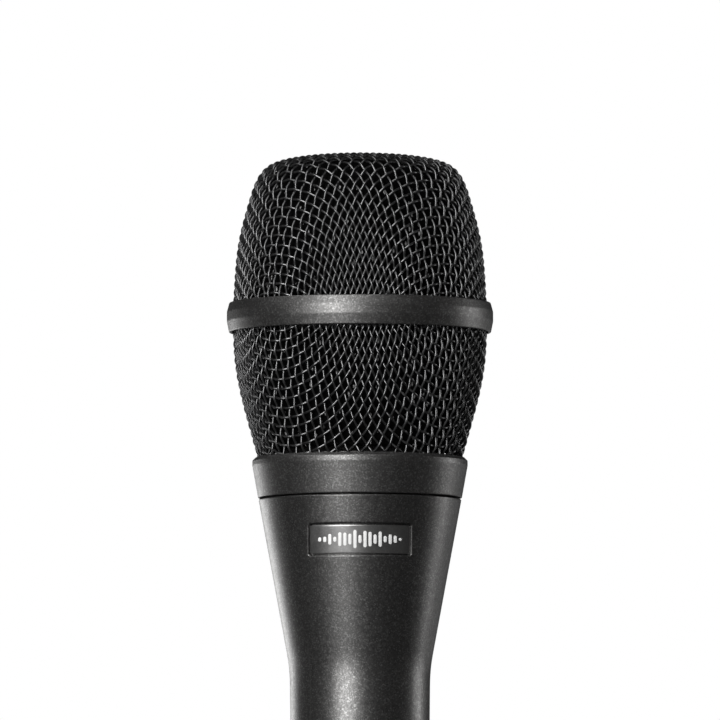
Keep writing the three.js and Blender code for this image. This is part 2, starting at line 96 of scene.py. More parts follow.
def cad_outline(node, side=0.0, centre=(0.0, 0.0)):
    """A turned CAD node's outline, walked along its edges in the half-plane at the angle side."""
    mesh = frame["nodes"][node].data
    points = np.array([v.co for v in mesh.vertices]) - (*centre, 0.0)
    along = points[:, 0] * math.cos(side) + points[:, 1] * math.sin(side)
    across = points[:, 1] * math.cos(side) - points[:, 0] * math.sin(side)
    in_plane = (np.abs(across) < 2e-6) & (along > -1e-6)
    keys = [(round(r / 1e-6), round(z / 1e-6)) for r, z in zip(along, points[:, 2])]
    links = {}
    for edge in mesh.edges:
        a, b = edge.vertices
        if in_plane[a] and in_plane[b] and keys[a] != keys[b]:
            for near, far in ((keys[a], keys[b]), (keys[b], keys[a])):
                links.setdefault(near, set()).add(far)
    chains = []
    left = set(links)
    while left:
        start = min(left, key=lambda k: (len(links[k]), -k[1], -k[0]))
        chain = [start]
        left.discard(start)
        while True:
            onward = [k for k in links[chain[-1]] if k in left]
            if not onward:
                break
            chain.append(min(onward))
            left.discard(chain[-1])
        chains.append(chain)
    # A flat ring face may have no edge in this plane, which leaves its two rims as loose ends.
    outline = chains.pop(0)
    while chains:
        end = outline[-1]
        gaps = [
            (20 * abs(tip[1] - end[1]) + abs(tip[0] - end[0]), i, flip)
            for i, chain in enumerate(chains)
            for flip, tip in enumerate((chain[0], chain[-1]))
        ]
        _, i, flip = min(gaps)
        chain = chains.pop(i)
        outline += chain[::-1] if flip else chain
    return np.array(outline, float) * 1e-6


def is_closed(outline):
    """A turned outline closes on itself unless both its ends are on the axis."""
    return max(outline[0][0], outline[-1][0]) > 1e-6


HOLD = 0.15 * MM  # how far before and after an arc its holding points lie
HOLD_SHARE = 0.035  # and at most this share of the flat that they are on
ARC_SHARE = 0.46  # of a flat that the arc at one of its ends may take
SLIGHT_CORNER = math.cos(math.radians(25))


def rounded(outline, bevel, soften=0.0, steps=3):
    """The outline with each corner turned into a small arc. A slight corner may get a longer one.

    A point just before and after each arc keeps its shading off the flats on either side.
    """
    closed = is_closed(outline)
    count = len(outline)
    out = []
    for i, corner in enumerate(outline):
        if not closed and i in (0, count - 1):
            out.append(corner)
            continue
        back, onward = outline[i - 1] - corner, outline[(i + 1) % count] - corner
        back_length, onward_length = np.linalg.norm(back), np.linalg.norm(onward)
        cosine = -(back @ onward) / (back_length * onward_length)
        reach = max(bevel, soften) if cosine > SLIGHT_CORNER else bevel
        reach = min(reach, ARC_SHARE * back_length, ARC_SHARE * onward_length)
        start = corner + back * reach / back_length
        end = corner + onward * reach / onward_length
        out.append(start + back * min(HOLD / back_length, HOLD_SHARE))
        for t in np.linspace(0, 1, steps + 1):
            out.append((1 - t) ** 2 * start + 2 * t * (1 - t) * corner + t * t * end)
        out.append(end + onward * min(HOLD / onward_length, HOLD_SHARE))
    return np.array(out)


def stretches(outline):
    """Each stretch of the outline as its two ends. An outline that leaves the axis is closed."""
    if is_closed(outline):
        return zip(outline, np.roll(outline, -1, axis=0))
    return zip(outline, np.vstack([outline[1:], outline[-1:]]))


def divided(outline, longest):
    """The outline with no step longer than the given length."""
    out = []
    for a, b in stretches(outline):
        pieces = max(1, math.ceil(np.linalg.norm(b - a) / longest))
        out += [a + (b - a) * i / pieces for i in range(pieces)]
    return np.array(out)


def crossed(outline, heights, wanted):
    """The outline with a point at each height that a wanted stretch of it crosses."""
    out = []
    for a, b in stretches(outline):
        out.append(a)
        if wanted(a, b) and abs(b[1] - a[1]) > 1e-9:
            shares = [(h - a[1]) / (b[1] - a[1]) for h in heights]
            out += [a + (b - a) * t for t in sorted(shares) if 1e-4 < t < 1 - 1e-4]
    return np.array(out)


def smooth_curve(points, count, mirrored=False):
    """A natural cubic spline through points, as count points evenly spaced along it."""
    points = np.array(points, float)
    first = 0
    if mirrored:  # the first point is on the axis, and the curve crosses it square
        points = np.vstack([(points[:0:-1] * (-1, 1)), points])
        first = (len(points) - 1) // 2
    knots = distances(points)
    gaps = np.diff(knots)
    size = len(knots)
    system, right = np.eye(size), np.zeros((size, 2))
    slopes = np.diff(points, axis=0) / gaps[:, None]
    for i in range(1, size - 1):
        system[i, i - 1:i + 2] = gaps[i - 1], 2 * (gaps[i - 1] + gaps[i]), gaps[i]
        right[i] = 6 * (slopes[i] - slopes[i - 1])
    bend = np.linalg.solve(system, right)
    at = np.linspace(knots[first], knots[-1], 4000)
    i = np.clip(np.searchsorted(knots, at) - 1, 0, size - 2)
    gap = gaps[i][:, None]
    before, after = (knots[i + 1] - at)[:, None], (at - knots[i])[:, None]
    curve = (bend[i] * before ** 3 + bend[i + 1] * after ** 3) / (6 * gap)
    curve += (points[i] / gap - bend[i] * gap / 6) * before
    curve += (points[i + 1] / gap - bend[i + 1] * gap / 6) * after
    length = distances(curve)
    even = np.linspace(0, length[-1], count)
    return np.column_stack([np.interp(even, length, curve[:, k]) for k in (0, 1)])


# ---------------- meshes

def quads_between(rings, lines, bands):
    """Faces that join each of the first bands rings of points to the next, round each ring."""
    i, j = np.meshgrid(np.arange(bands), np.arange(lines), indexing="ij")
    i_next, j_next = (i + 1) % rings, (j + 1) % lines
    corners = [i * lines + j, i * lines + j_next, i_next * lines + j_next, i_next * lines + j]
    return np.stack(corners, axis=-1).reshape(-1, 4).tolist()


def turned(outline, around=MEDIUM, shift=None, angles=None, centre=(0.0, 0.0)):
    """A closed outline turned about the Z axis. shift(r, z, angle) gives each point's new radius."""
    outline = np.asarray(outline)
    rings = len(outline)
    if angles is None:
        angles = np.linspace(0, 2 * math.pi, around, endpoint=False)[None, :]
    angles = np.broadcast_to(angles, (rings, angles.shape[1]))
    r, z = (np.broadcast_to(outline[:, k:k + 1], angles.shape) for k in (0, 1))
    if shift is not None:
        r = shift(r, z, angles)
    x, y = centre[0] + r * np.cos(angles), centre[1] + r * np.sin(angles)
    vertices = np.stack([x, y, z], axis=-1).reshape(-1, 3)
    lines = angles.shape[1]
    return vertices, quads_between(rings, lines, rings if is_closed(outline) else rings - 1)


def lofted(rings):
    """A skin over a row of rings with the same number of points, closed by a flat face at each end."""
    rings = np.asarray(rings)
    count, sides = rings.shape[:2]
    last = (count - 1) * sides
    ends = [list(range(sides))[::-1], list(range(last, last + sides))]
    return rings.reshape(-1, 3), quads_between(count, sides, count - 1) + ends


def circle(radius, count):
    turn = np.linspace(0, 2 * math.pi, count, endpoint=False)
    return radius * np.column_stack([np.cos(turn), np.sin(turn)])


def at_height(points, z):
    """Points [x, y] at one height."""
    return np.column_stack([points, np.full(len(points), z)])


def tube(path, facing, radius, sides=7):
    """A round wire along path, with flat ends. facing is a direction across it at each point."""
    tangent = unit(np.gradient(path, axis=0))
    across = unit(np.cross(tangent, facing))
    up = np.cross(across, tangent)
    turn = np.linspace(0, 2 * math.pi, sides, endpoint=False)[None, :, None]
    ring = np.cos(turn) * across[:, None] + np.sin(turn) * up[:, None]
    return lofted(path[:, None] + radius * ring)


def merged(parts):
    """Several (vertices, faces) pairs as one."""
    vertices, faces, start = [], [], 0
    for part_vertices, part_faces in parts:
        vertices.append(part_vertices)
        faces += [[index + start for index in face] for face in part_faces]
        start += len(part_vertices)
    return np.vstack(vertices), faces


def make_mesh(name, geometry, sharp=35.0):
    """A mesh with shared vertices, faces that point out, and smooth shading up to an angle."""
    vertices, faces = geometry
    mesh = bpy.data.meshes.new(name)
    mesh.from_pydata(np.asarray(vertices).tolist(), [], faces)
    tidy(mesh, 1e-7)
    mesh.shade_smooth()
    mesh.set_sharp_from_angle(angle=math.radians(sharp))
    return mesh


def tidy(mesh, distance):
    """Merges points closer than a distance and turns an inside-out mesh round."""
    work = bmesh.new()
    work.from_mesh(mesh)
    bmesh.ops.remove_doubles(work, verts=work.verts, dist=distance)
    bmesh.ops.dissolve_degenerate(work, edges=work.edges, dist=distance / 2)
    if work.calc_volume(signed=True) < 0:
        bmesh.ops.reverse_faces(work, faces=work.faces)
    work.to_mesh(mesh)
    work.free()


def placed(name, data):
    """A new object in the scene."""
    made = bpy.data.objects.new(name, data)
    bpy.context.scene.collection.objects.link(made)
    return made


def modified(made):
    """The mesh of an object with its modifiers applied."""
    bpy.context.view_layer.update()
    graph = bpy.context.evaluated_depsgraph_get()
    return bpy.data.meshes.new_from_object(made.evaluated_get(graph))


def piece(name, geometry, material, body, *stands_for, sharp=35.0, blend=None):
    """A new visible piece that rides on a CAD body, or with blend stays fixed on none, and replaces CAD
    nodes.
    """
    mesh = geometry if isinstance(geometry, bpy.types.Mesh) else make_mesh(name, geometry, sharp)
    made = placed(name, mesh)
    mesh.materials.clear()
    mesh.materials.append(material)
    if blend:
        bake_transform(made)
    else:
        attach(made, body)
    if stands_for:
        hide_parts(*stands_for)
    return made


def drilled(made, cutters):
    """Cuts each (vertices, faces) cutter out of the piece."""
    for geometry in cutters:
        tool = placed("cutter", make_mesh("cutter", geometry))
        modifier = made.modifiers.new("cut", "BOOLEAN")
        modifier.operation, modifier.solver, modifier.object = "DIFFERENCE", "EXACT", tool
        result = modified(made)
        made.modifiers.clear()
        made.data = result
        bpy.data.objects.remove(tool)
    made.data.set_sharp_from_angle(angle=math.radians(30))


def box(low, high, turn=0.0):
    """A block by two corners, turned about Z."""
    corners = np.array(list(itertools.product(*zip(low, high))), float)
    c, s = math.cos(turn), math.sin(turn)
    corners[:, :2] = corners[:, :2] @ np.array([[c, s], [-s, c]])
    faces = [[0, 1, 3, 2], [4, 6, 7, 5], [0, 4, 5, 1], [2, 3, 7, 6], [0, 2, 6, 4], [1, 5, 7, 3]]
    return corners, faces


SLOTS = {row["node"]: row["material_slot"] for row in frame["record"]["subparts"]}


# ---------------- patterns in the meshes

def hashed(cells):
    """Three repeatable numbers from 0 to 1 for each whole-number cell."""
    mixed = cells @ np.array([[127.1, 269.5, 113.5], [311.7, 183.3, 271.9], [74.7, 246.1, 124.6]])
    return np.modf(np.abs(np.sin(mixed) * 43758.5453))[0]


def pores(points, size):
    """How deep the nearest foam pore is at each point, from 0 to 1."""
    cells = np.floor(points / size)
    nearest = np.full(len(points), 9.0)
    for offset in itertools.product((-1, 0, 1), repeat=3):
        corner = cells + offset
        away = np.linalg.norm(points / size - corner - hashed(corner), axis=1)
        nearest = np.minimum(nearest, away)
    return np.clip(1 - 1.5 * nearest, 0, 1)


def pressed(geometry, depth):
    """The surface pushed in by depth(points), in metres."""
    mesh = make_mesh("pressed", geometry, sharp=60)
    count = len(mesh.vertices)
    points, normals = np.zeros(count * 3), np.zeros(count * 3)
    mesh.vertices.foreach_get("co", points)
    mesh.vertices.foreach_get("normal", normals)
    points, normals = points.reshape(-1, 3), normals.reshape(-1, 3)
    mesh.vertices.foreach_set("co", (points - normals * depth(points)[:, None]).ravel())
    mesh.update()
    return mesh


def foam_pores(points):
    return 0.35 * MM * pores(points, 0.85 * MM)


# ---------------- materials

class Surface:
    """A principled material put together from procedural layers in object space."""

    def __init__(self, name, colour, rough, metal=0.0, **sockets):
        self.material = bpy.data.materials.new(name)
        self.material.use_nodes = True
        self.material.diffuse_color = (*colour, 1)
        self.tree = self.material.node_tree
        self.shader = self.tree.nodes["Principled BSDF"]
        self.place = self.add("TexCoord").outputs["Object"]
        self.colour = self.constant(colour)
        self.normal = None
        self.shader.inputs["Roughness"].default_value = rough
        self.shader.inputs["Metallic"].default_value = metal
        for socket, value in sockets.items():
            self.shader.inputs[socket.replace("_", " ")].default_value = value

    def add(self, kind):
        return self.tree.nodes.new("ShaderNode" + kind)

    def link(self, source, target):
        self.tree.links.new(source, target)

    def constant(self, colour):
        node = self.add("RGB")
        node.outputs[0].default_value = (*colour, 1)
        return node.outputs[0]

    def stretched(self, scale):
        node = self.add("Mapping")
        node.inputs["Scale"].default_value = scale
        self.link(self.place, node.inputs["Vector"])
        return node.outputs[0]

    def noise(self, scale, detail, stretch=(1, 1, 1)):
        node = self.add("TexNoise")
        node.inputs["Scale"].default_value = scale
        node.inputs["Detail"].default_value = detail
        self.link(self.stretched(stretch), node.inputs["Vector"])
        return node.outputs[0]

    def cells(self, scale, output="Distance", stretch=(1, 1, 1)):
        node = self.add("TexVoronoi")
        node.inputs["Scale"].default_value = scale
        self.link(self.stretched(stretch), node.inputs["Vector"])
        return node.outputs[output]

    def waves(self, scale, axis):
        node = self.add("TexWave")
        node.bands_direction = axis
        node.inputs["Scale"].default_value = scale
        self.link(self.place, node.inputs["Vector"])
        return node.outputs["Fac"]

    def ranged(self, value, low, high, to_low, to_high):
        node = self.add("MapRange")
        for socket, number in zip(("From Min", "From Max", "To Min", "To Max"),
                                  (low, high, to_low, to_high)):
            node.inputs[socket].default_value = number
        self.link(value, node.inputs["Value"])
        return node.outputs[0]

    def product(self, a, b):
        node = self.add("Math")
        node.operation = "MULTIPLY"
        self.link(a, node.inputs[0])
        self.link(b, node.inputs[1])
        return node.outputs[0]

    def tint(self, colour, amount):
        """Mixes colour in by amount, a socket."""
        node = self.add("Mix")
        node.data_type = "RGBA"
        self.link(amount, node.inputs[0])
        self.link(self.colour, node.inputs[6])
        node.inputs[7].default_value = (*colour, 1)
        self.colour = node.outputs[2]
        return self

    def blotches(self, colour, scale, share):
        return self.tint(colour, self.ranged(self.noise(scale, 5), 0.35, 0.7, 0, share))

    def worn(self, colour, share):
        """Lighter, barer paint along the outer edges."""
        pointed = self.add("NewGeometry").outputs["Pointiness"]
        return self.tint(colour, self.ranged(pointed, 0.53, 0.6, 0, share))

    def uneven(self, low, high, scale=900, stretch=(1, 1, 1)):
        roughness = self.ranged(self.noise(scale, 4, stretch), 0.3, 0.7, low, high)
        self.link(roughness, self.shader.inputs["Roughness"])
        return self

    def bumped(self, height, depth, strength):
        node = self.add("Bump")
        node.inputs["Strength"].default_value = strength
        node.inputs["Distance"].default_value = depth
        self.link(height, node.inputs["Height"])
        if self.normal is not None:
            self.link(self.normal, node.inputs["Normal"])
        self.normal = node.outputs[0]
        return self

    def done(self):
        self.link(self.colour, self.shader.inputs["Base Color"])
        if self.normal is not None:
            self.link(self.normal, self.shader.inputs["Normal"])
        return self.material


def enamel(name, rough):
    """Satin charcoal metallic paint: a fine fleck in the colour and a fine orange peel."""
    paint = Surface(name, (0.12, 0.118, 0.116), 0.4, 0.9)
    paint.blotches((0.1, 0.099, 0.098), 300, 0.5)
    fleck = paint.cells(4400, "Color")
    paint.tint((0.3, 0.3, 0.295), paint.ranged(fleck, 0.6, 1.0, 0, 0.7))
    paint.tint((0.04, 0.04, 0.04), paint.ranged(fleck, 0.0, 0.45, 0.5, 0))
    paint.worn((0.19, 0.19, 0.185), 0.35)
    paint.uneven(*rough, 1200)
    paint.bumped(paint.noise(3800, 2), 0.02 * MM, 0.5)
    paint.bumped(paint.noise(900, 2), 0.02 * MM, 0.35)
    return paint.done()


def moulded(name, colour, rough=(0.42, 0.58), grain=5200):
    """Hard moulded plastic with a fine spark-eroded texture."""
    dark = tuple(0.75 * c for c in colour)
    plastic = Surface(name, colour, 0.5)
    plastic.blotches(dark, 420, 0.6).worn(tuple(min(1, 1.6 * c + 0.01) for c in colour), 0.5)
    plastic.uneven(*rough).bumped(plastic.noise(grain, 3), 0.02 * MM, 0.7)
    return plastic.done()


def machined(name, colour, rough=(0.22, 0.38), dull=0.7):
    """Turned metal: fine rings along the axis, and a few duller patches."""
    metal = Surface(name, colour, 0.3, 1.0)
    metal.blotches(tuple(dull * c for c in colour), 260, 0.7)
    metal.uneven(*rough, 700, (1, 1, 9)).worn(tuple(min(1, 1.25 * c) for c in colour), 0.6)
    metal.bumped(metal.noise(900, 2, (0.4, 0.4, 14)), 0.006 * MM, 0.6)
    return metal.done()


def cloth(name, colour, thread):
    """Fine woven cloth: two crossed sets of threads."""
    weave = Surface(name, colour, 0.85, Sheen_Weight=0.3)
    crossing = weave.product(weave.waves(thread, "X"), weave.waves(thread, "Z"))
    # Painted shade: darker where the threads lie low, between them.
    weave.tint(tuple(0.35 * c for c in colour), weave.ranged(crossing, 0, 0.6, 0.8, 0))
    weave.blotches(tuple(1.4 * c for c in colour), 900, 0.4).uneven(0.75, 0.95)
    weave.bumped(crossing, 0.04 * MM, 0.8)
    return weave.done()


def foam_look(name):
    foam = Surface(name, (0.0025, 0.0025, 0.0026), 0.95, Specular_IOR_Level=0.03)
    cell = foam.cells(1500)
    # Painted shade: darker in the middle of each pore, where the bump below dents the surface.
    foam.tint((0.0006, 0.0006, 0.0006), foam.ranged(cell, 0.0, 0.4, 0.9, 0))
    foam.blotches((0.005, 0.005, 0.005), 700, 0.5).uneven(0.88, 1.0)
    # Painted glints: sparse light specks in the colour stand in for light caught by the foam's cell
    # walls.
    tall = (1, 1, 0.4)
    painted_glint_spot = foam.ranged(foam.cells(1000, "Distance", tall), 0.12, 0.22, 1, 0)
    painted_glint_pick = foam.ranged(foam.cells(1000, "Color", tall), 0.5, 0.55, 0, 1)
    foam.tint((0.5, 0.5, 0.5), foam.product(painted_glint_spot, painted_glint_pick))
    foam.bumped(cell, 0.25 * MM, 1.0)
    return foam.done()


def rubber_look(name):
    rubber = Surface(name, (0.018, 0.018, 0.018), 0.75, Specular_IOR_Level=0.35)
    rubber.blotches((0.034, 0.033, 0.032), 500, 0.6).uneven(0.62, 0.85)
    rubber.worn((0.06, 0.06, 0.06), 0.4).bumped(rubber.noise(4200, 4), 0.03 * MM, 0.6)
    return rubber.done()


def wire_look(name):
    """Drawn wire under thin satin black: darker blotches and small lighter patches."""
    wire = Surface(name, (0.14, 0.14, 0.141), 0.3, 0.92)
    wire.blotches((0.09, 0.09, 0.091), 500, 0.6)
    wire.tint((0.2, 0.2, 0.2), wire.ranged(wire.noise(2600, 3), 0.5, 0.75, 0, 0.4))
    wire.uneven(0.26, 0.36, 1800).bumped(wire.noise(5200, 2), 0.004 * MM, 0.4)
    return wire.done()


def gloss_look(name):
    gloss = Surface(name, (0.3, 0.297, 0.294), 0.32, 0.92)
    gloss.blotches((0.25, 0.248, 0.246), 260, 0.6).uneven(0.28, 0.36, 600)
    gloss.tint((0.45, 0.45, 0.44), gloss.ranged(gloss.cells(5200, "Color"), 0.6, 1.0, 0, 0.5))
    gloss.bumped(gloss.noise(1400, 3), 0.008 * MM, 0.4)
    return gloss.done()


def print_look(name):
    ink = Surface(name, (0.93, 0.93, 0.92), 0.5)
    ink.blotches((0.8, 0.8, 0.79), 2600, 0.5).uneven(0.4, 0.6, 2200)
    ink.bumped(ink.noise(6000, 2), 0.006 * MM, 0.6)
    return ink.done()


def felt_look(name):
    felt = Surface(name, (0.34, 0.30, 0.21), 0.95, Sheen_Weight=0.5)
    fibres = felt.noise(2600, 5, (1, 0.3, 1.6))
    # Painted shade: darker where the fibres lie low, in the hollows of the bump.
    felt.tint((0.16, 0.13, 0.085), felt.ranged(fibres, 0.4, 0.62, 0.7, 0))
    felt.uneven(0.88, 1.0).bumped(fibres, 0.15 * MM, 0.9)
    return felt.done()


def film_look(name):
    film = Surface(name, (0.62, 0.47, 0.2), 0.22, Coat_Weight=0.4, Alpha=0.86)
    film.blotches((0.5, 0.36, 0.14), 200, 0.5).uneven(0.16, 0.3, 900)
    film.bumped(film.noise(1600, 2), 0.01 * MM, 0.5)
    return film.done()


def wound(name):
    """Enamelled copper winding wire."""
    copper = Surface(name, (0.62, 0.22, 0.08), 0.3, 0.9, Coat_Weight=0.5)
    copper.blotches((0.42, 0.12, 0.04), 900, 0.6).uneven(0.22, 0.42, 1500)
    copper.bumped(copper.noise(3600, 2), 0.01 * MM, 0.5)
    return copper.done()


def laminated(name):
    """Stacked core plates with a thin blue-grey oxide and small patches of rust."""
    steel = Surface(name, (0.16, 0.17, 0.19), 0.4, 0.9)
    steel.blotches((0.10, 0.11, 0.14), 350, 0.7)
    steel.tint((0.16, 0.08, 0.045), steel.ranged(steel.noise(800, 6), 0.6, 0.75, 0, 0.5))
    steel.uneven(0.3, 0.55).bumped(steel.noise(2500, 3), 0.015 * MM, 0.5)
    return steel.done()


# Each finish of the record: what makes it, and the details it takes.
FINISHES = {
    "charcoal_enamel": (enamel, (0.33, 0.41)),
    "charcoal_enamel_steel": (enamel, (0.38, 0.46)),
    "grille_wire": (wire_look,),
    "foam": (foam_look,),
    "black_rubber": (rubber_look,),
    "badge_gloss": (gloss_look,),
    "badge_print": (print_look,),
    "black_plastic": (moulded, (0.022, 0.022, 0.023)),
    "grey_plastic": (moulded, (0.26, 0.27, 0.28)),
    "magnet_alloy": (machined, (0.40, 0.41, 0.43), (0.3, 0.5)),
    "plated_steel": (machined, (0.56, 0.57, 0.58)),
    "core_steel": (laminated,),
    "copper_wire": (wound,),
    "polyester_film": (film_look,),
    "acoustic_cloth": (cloth, (0.055, 0.055, 0.058), 1300),
    "felt": (felt_look,),
    "brass": (machined, (0.62, 0.42, 0.14), (0.2, 0.36)),
    "gold_plate": (machined, (0.82, 0.58, 0.22), (0.14, 0.26), 0.85),
    "red_insulation": (moulded, (0.36, 0.02, 0.02), (0.34, 0.5), 3000),
    "black_insulation": (moulded, (0.012, 0.012, 0.012), (0.34, 0.5), 3000),
    "green_insulation": (moulded, (0.02, 0.2, 0.06), (0.34, 0.5), 3000),
}
LOOKS = {name: make(name, *details) for name, (make, *details) in FINISHES.items()}


def look_of(node):
    """The grille's metal parts have a slightly drier coat of the handle's paint."""
    if node in ("grille_band", "grille_collar"):
        return LOOKS["charcoal_enamel_steel"]
    return LOOKS[SLOTS[node]]


# ---------------- woven grille

WIRE = 0.225 * MM  # wire radius
PITCH = 1.69 * MM  # from wire to wire in the flat sheet
STEPS = 6  # mesh steps from crossing to crossing
# Each half is drawn from a flat sheet woven square. Along the wires the sheet stretches a little as
# it is drawn, and on the diagonal its cells close up into tall diamonds.
UPPER_NET = {"stretch": 1.06, "bias": 0.17, "gather": 0.44, "start": 14, "reach": 14, "pinch": 0.17,
             "turn": 0.0}
LOWER_NET = {"stretch": 1.06, "bias": 0.24, "gather": 0.305, "start": 21, "reach": 7,
             "pinch": 0.045, "turn": 4.0}
FLAT_RADIUS = 17  # mm from the middle of the sheet that the press leaves flat
PINCH_START, PINCH_REACH = 25, 20  # mm from the middle at which the diamonds start to pinch
SHEET_HALF = 52 * MM
WANDER = 0.02 * MM  # how far a wire strays from its place, as a standard deviation
CROWN = 1.04  # how many wire radii a wire's middle rises over a crossing


def drawn(u, v, net):
    """Where a point of the flat sheet ends up: distance along the wall, and angle about Z."""
    rho, phi = np.hypot(u, v) / MM, np.arctan2(v, u)
    share = net["stretch"] + net["bias"] * np.sin(2 * phi) ** 2
    s = np.where(rho < FLAT_RADIUS, rho, FLAT_RADIUS + (rho - FLAT_RADIUS) * share)
    gather = net["gather"] * (1 - np.exp(-np.maximum(s - net["start"], 0) / net["reach"]))
    pinch = net["pinch"] * (np.maximum(s - PINCH_START, 0) / PINCH_REACH) ** 2
    angle = phi + gather * np.sin(4 * phi) / 4 + pinch * np.sin(8 * phi) / 8
    return s * MM, angle + FRONT - math.pi / 4 + math.radians(net["turn"])


def woven(name, wall, heights, first, net, node):
    """Two families of wires, over and under each other, on the part of a wall between two heights.

    The wall's start is at distance first from the middle of the sheet that it was drawn from.
    """
    length = first + distances(wall)
    kept = (wall[:, 1] > heights[0]) & (wall[:, 1] < heights[1])
    wall, length = wall[kept], length[kept]
    slope = unit(np.gradient(wall, axis=0))
    outward = np.column_stack([-slope[:, 1], slope[:, 0]])
    if outward[len(outward) // 2][0] < 0:
        outward = -outward
    reach = int(SHEET_HALF / PITCH)
    along = np.arange(-reach * STEPS, reach * STEPS + 1) * PITCH / STEPS
    for family, label in enumerate(("warp", "weft")):
        parts = []
        for k in range(-reach, reach):
            across = np.full(len(along), (k + 0.5) * PITCH + random.normal(0, WANDER))
            u, v = (across, along) if family == 0 else (along, across)
            s, angle = drawn(u, v, net)
            over = np.sin(math.pi * along / PITCH) * (-1) ** (k + family)
            lift = WIRE * CROWN * over
            out_r, out_z = (np.interp(s, length, outward[:, k]) for k in (0, 1))
            radial = np.column_stack([np.cos(angle), np.sin(angle), np.zeros(len(angle))])
            path = radial * (np.interp(s, length, wall[:, 0]) + lift * out_r)[:, None]
            path[:, 2] = np.interp(s, length, wall[:, 1]) + lift * out_z
            facing = radial * out_r[:, None]
            facing[:, 2] = out_z
            inside = np.flatnonzero((s > length[0]) & (s < length[-1]))
            for run in np.split(inside, np.flatnonzero(np.diff(inside) > 1) + 1):
                if len(run) > STEPS:
                    parts.append(tube(path[run], facing[run], WIRE))
        piece(f"{name}_{label}", merged(parts), look_of(node), "grille", node, sharp=80)


def outer_wall(node):
    """The outside of a mesh half's CAD shell, from the bottom up."""
    outline = cad_outline(node)
    half = len(outline) // 2
    outer = max((outline[:half], outline[half:]), key=lambda run: run[:, 0].sum())
    return outer[::-1] if outer[0][1] > outer[-1][1] else outer


upper = outer_wall("grille_mesh_upper")
lower = outer_wall("grille_mesh_lower")


def moved_in(curve, distance):
    slope = unit(np.gradient(curve, axis=0))
    side = np.column_stack([slope[:, 1], -slope[:, 0]])
    if side[len(side) // 2][0] > 0:
        side = -side
    return curve + side * distance


LOWER_START = 17.94 * MM  # how far from the middle of its sheet the lower half's small end was
BAND_GAP = 0.3 * MM  # the wires stop this far inside the band's groove
COLLAR_GAP = 0.35 * MM
dome = moved_in(smooth_curve(upper[::-1], 400, mirrored=True), 2 * WIRE)
dome[0, 0] = 0
woven("grille_wires_upper", dome, (upper[0][1] + BAND_GAP, 1), 0.0, UPPER_NET, "grille_mesh_upper")
cone = moved_in(smooth_curve(lower, 300), 2 * WIRE)
heights = (lower[0][1] + COLLAR_GAP, lower[-1][1] - BAND_GAP)
woven("grille_wires_lower", cone, heights, LOWER_START, LOWER_NET, "grille_mesh_lower")


# ---------------- band, collar, seal and foam

def fine(node, geometry, **options):
    """A finely meshed piece in place of one CAD node, on its body and in its finish."""
    body = frame["nodes"][node]["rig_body"]
    return piece(f"{node}_fine", geometry, look_of(node), body, node, **options)


THREAD_PITCH = 1.0 * MM
THREAD_SLOPE = THREAD_PITCH / (2 * math.pi)  # the thread's rise for each radian
COLLAR_GROOVE = 0.32 * MM
SPIGOT_GROOVE = 0.45 * MM
collar_low, collar_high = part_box("grille_collar")
collar = rounded(cad_outline("grille_collar"), 0.14 * MM)
collar_bore = collar[:, 0].min()


def thread_wave(z, angle):
    """How far along its rounded V the thread is at a point, from 0 at the root to 1 at the crest."""
    phase = np.mod((z - angle * THREAD_SLOPE) / THREAD_PITCH, 1)
    return np.clip(1.25 * (1 - np.abs(2 * phase - 1)), 0, 1)


def fade_between(z, low, high, over=0.4 * MM):
    return np.clip((z - low) / over, 0, 1) * np.clip((high - z) / over, 0, 1)


def collar_thread(r, z, angle):
    """A helical groove cut outwards from the collar's bore."""
    groove = COLLAR_GROOVE * thread_wave(z, angle)
    groove = groove * fade_between(z, collar_low.z + 0.6 * MM, collar_low.z + 6 * MM)
    return r + np.where(r < collar_bore + 0.01 * MM, groove, 0)


collar = crossed(collar, np.arange(collar_low.z, collar_high.z, 0.1 * MM),
                 lambda a, b: max(a[0], b[0]) < collar_bore + 0.05 * MM)
fine("grille_collar", turned(collar, FINE, collar_thread))
fine("grille_band", turned(rounded(cad_outline("grille_band"), 0.16 * MM), FINE))
fine("grille_seal", turned(rounded(cad_outline("grille_seal"), 0.15 * MM), FINE))

# The foam is glued inside the wire, so it moves with the wire and not with its own CAD body.
for node in ("windscreen_foam_upper", "windscreen_foam_lower"):
    outline = divided(rounded(cad_outline(node), 0.8 * MM, 3 * MM, steps=6), 0.42 * MM)
    foam = pressed(turned(outline, 300), foam_pores)
    piece(f"{node}_fine", foam, look_of(node), "grille", node)


# ---------------- handle

handle_outline = cad_outline("handle")
tail_index = max(np.flatnonzero(handle_outline[:, 1] < 1e-6), key=lambda i: handle_outline[i][0])
widest_index = int(np.argmax(handle_outline[:, 0]))
skin = handle_outline[min(tail_index, widest_index):max(tail_index, widest_index) + 1]
skin = skin[np.argsort(skin[:, 1])]


def skin_radius(z):
    """The handle's outside radius at a height."""
    return np.interp(z, skin[:, 1], skin[:, 0])


plate_low, plate_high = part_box("badge_plate")
SKIN = 0.6 * MM  # points of the outline this close to the outside are on the outside
PLATE_MARGIN = 0.3 * MM
BADGE_CORNER = 0.4 * MM
SCREW_MARGIN = 0.15 * MM
SCREW_WELL = {"depth": 0.85 * MM, "slope": 0.18 * MM}
RECESS_DEPTH = 0.9 * MM
badge_z = (plate_low.z + plate_high.z) / 2
badge_half = np.array([plate_high.x + PLATE_MARGIN, (plate_high.z - plate_low.z) / 2 + PLATE_MARGIN])
screw_low, screw_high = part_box("xlr_lock_screw")
screw_z = (screw_low.z + screw_high.z) / 2
screw_hole = (screw_high.z - screw_low.z) / 2 + SCREW_MARGIN
LATCH_POCKET = {"half_width": 1.9 * MM, "low": 4.0 * MM, "high": 8.5 * MM, "depth": 1.4 * MM}


